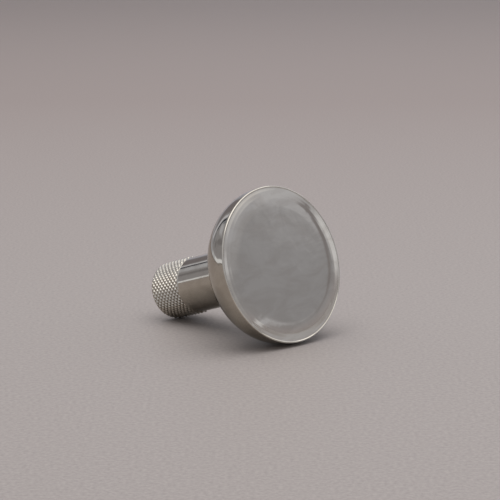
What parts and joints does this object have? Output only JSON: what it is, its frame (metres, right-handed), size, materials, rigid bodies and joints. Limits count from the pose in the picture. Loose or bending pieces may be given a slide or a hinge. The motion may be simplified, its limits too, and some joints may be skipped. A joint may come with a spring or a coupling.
{
  "type": "knurled knob",
  "caption": "Mushroom-shaped turned metal cabinet knob: broad polished flat-faced head, slim round stem, diamond-knurled foot with a tapped hole to screw it on.",
  "frame": {"origin": "centre of the mounting face at the foot of the stem", "axes": "+Z along the stem's axis, from the mounting face towards the face of the head"},
  "size_m": [0.032, 0.032, 0.0358],
  "materials": {
    "polished_nickel": "mirror-polished nickel plate"
  },
  "bodies": {
    "root": {"knob": "polished_nickel"}
  },
  "joints": []
}
